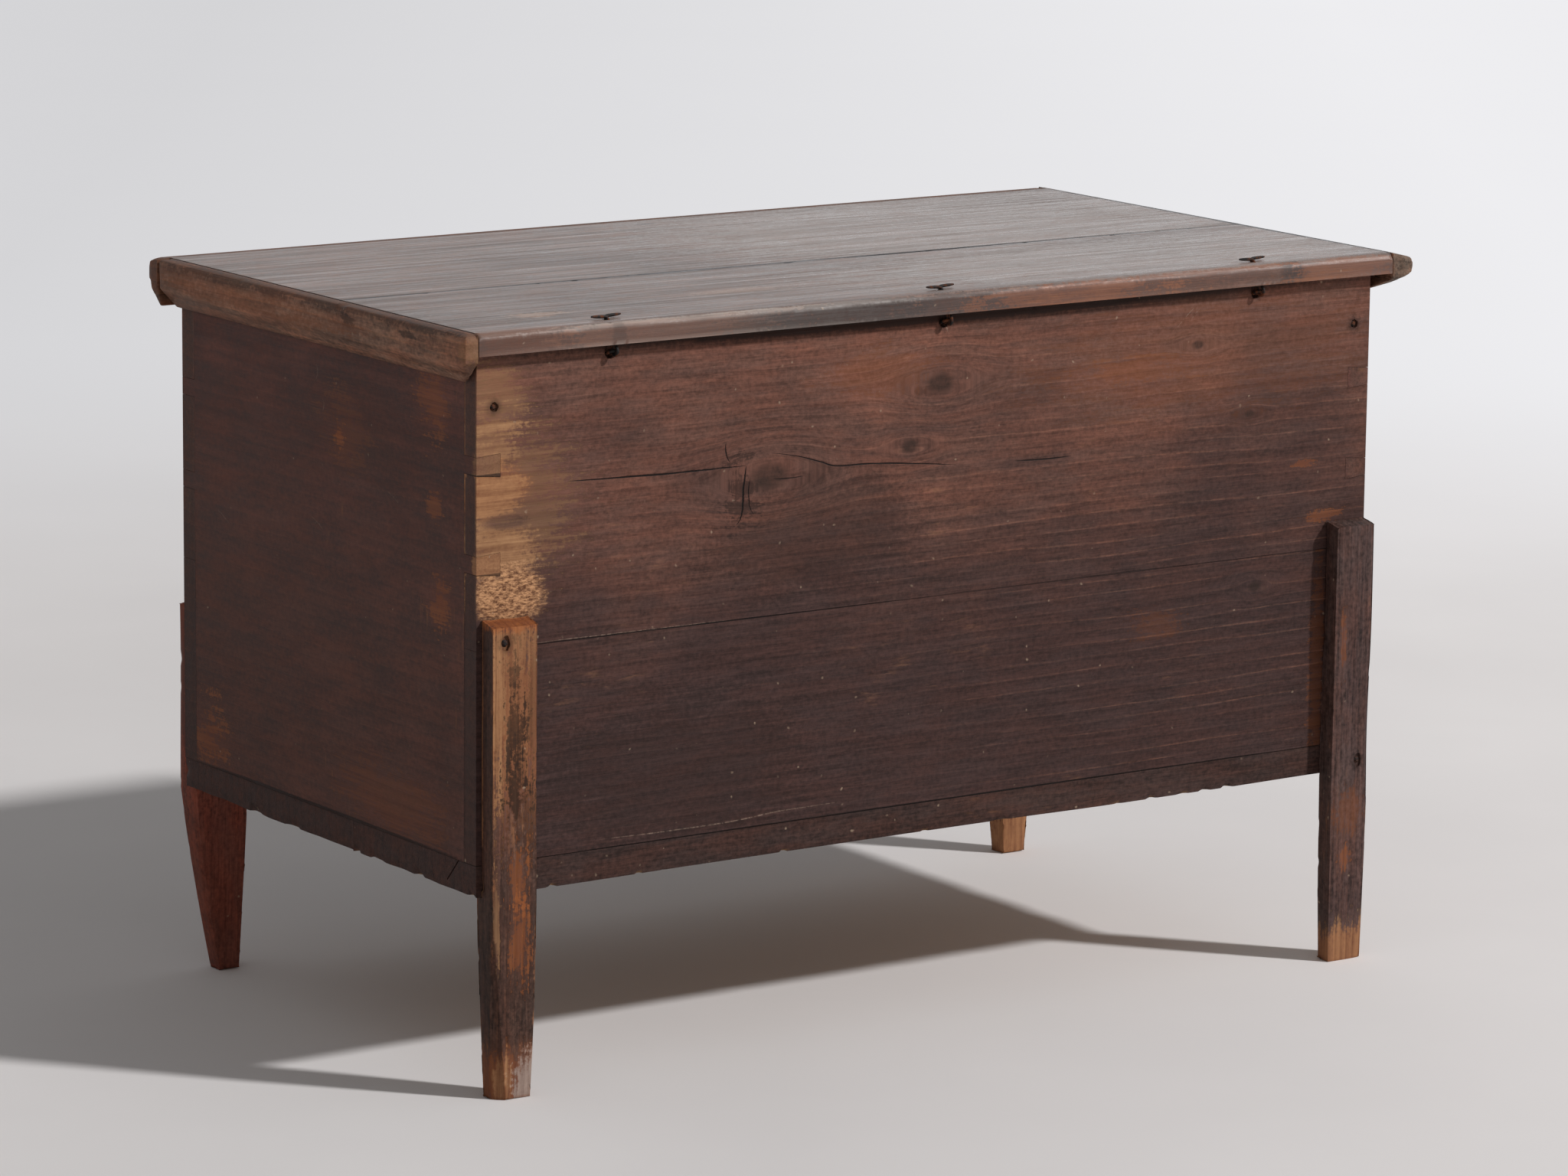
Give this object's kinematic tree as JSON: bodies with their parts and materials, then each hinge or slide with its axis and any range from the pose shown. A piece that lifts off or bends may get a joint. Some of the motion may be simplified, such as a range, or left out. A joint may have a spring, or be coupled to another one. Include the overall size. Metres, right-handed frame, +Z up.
{
  "type": "wedding chest",
  "caption": "Low rustic pine storage chest on tapered legs, with dovetailed upper corners and a flat edged lid that swings up on linked wire hinges.",
  "frame": {"origin": "on the floor, under the middle of the whole chest's bounding box", "axes": "+X along the length to the right as seen from the front, +Y from the front to the hinged back, +Z up"},
  "size_m": [1.0515, 0.5692, 0.6847],
  "materials": {
    "stained_pine": "dark brown stain, worn and dull",
    "lid_pine": "grey-brown, rubbed to a satin sheen",
    "leg_pine": "stain worn through to orange-brown wood",
    "wrought_iron": "dark rusted wrought iron"
  },
  "bodies": {
    "chest": {"back_lower_board": "stained_pine", "back_upper_board": "stained_pine", "bottom_back_board": "stained_pine", "bottom_front_board": "stained_pine", "bottom_nail_back_left_a": "wrought_iron", "bottom_nail_back_left_b": "wrought_iron", "bottom_nail_back_right_a": "wrought_iron", "bottom_nail_back_right_b": "wrought_iron", "bottom_nail_back_wall_left": "wrought_iron", "bottom_nail_back_wall_right": "wrought_iron", "bottom_nail_front_left_a": "wrought_iron", "bottom_nail_front_left_b": "wrought_iron", "bottom_nail_front_right_a": "wrought_iron", "bottom_nail_front_right_b": "wrought_iron", "bottom_nail_front_wall_left": "wrought_iron", "bottom_nail_front_wall_right": "wrought_iron", "corner_nail_back_left": "wrought_iron", "corner_nail_back_right": "wrought_iron", "corner_nail_front_left": "wrought_iron", "corner_nail_front_right": "wrought_iron", "front_lower_board": "stained_pine", "front_upper_board": "stained_pine", "hinge_1_lower_pin": "wrought_iron", "hinge_2_lower_pin": "wrought_iron", "hinge_3_lower_pin": "wrought_iron", "left_end_board": "stained_pine", "leg_back_left": "leg_pine", "leg_back_right": "leg_pine", "leg_front_left": "leg_pine", "leg_front_right": "leg_pine", "leg_nail_back_left_low": "wrought_iron", "leg_nail_back_left_mid": "wrought_iron", "leg_nail_back_left_top": "wrought_iron", "leg_nail_back_right_low": "wrought_iron", "leg_nail_back_right_mid": "wrought_iron", "leg_nail_back_right_top": "wrought_iron", "leg_nail_front_left_low": "wrought_iron", "leg_nail_front_left_top": "wrought_iron", "leg_nail_front_right_low": "wrought_iron", "leg_nail_front_right_top": "wrought_iron", "right_end_board": "stained_pine"},
    "lid": {"cleat_nail_left_back": "wrought_iron", "cleat_nail_left_front": "wrought_iron", "cleat_nail_left_joint": "wrought_iron", "cleat_nail_right_back": "wrought_iron", "cleat_nail_right_front": "wrought_iron", "cleat_nail_right_joint": "wrought_iron", "hinge_1_upper_pin": "wrought_iron", "hinge_2_upper_pin": "wrought_iron", "hinge_3_upper_pin": "wrought_iron", "lid_back_board": "lid_pine", "lid_front_board": "lid_pine", "lid_front_strip": "stained_pine", "lid_left_cleat": "stained_pine", "lid_right_cleat": "stained_pine", "strip_nail_1": "wrought_iron", "strip_nail_2": "wrought_iron", "strip_nail_3": "wrought_iron", "strip_nail_4": "wrought_iron"}
  },
  "joints": [
    {"name": "lid_hinge", "type": "hinge", "parent": "chest", "child": "lid", "pos_m": [0.01025, 0.27205, 0.6541], "axis": [-1, 0, 0], "range_deg": [0, 100]}
  ]
}
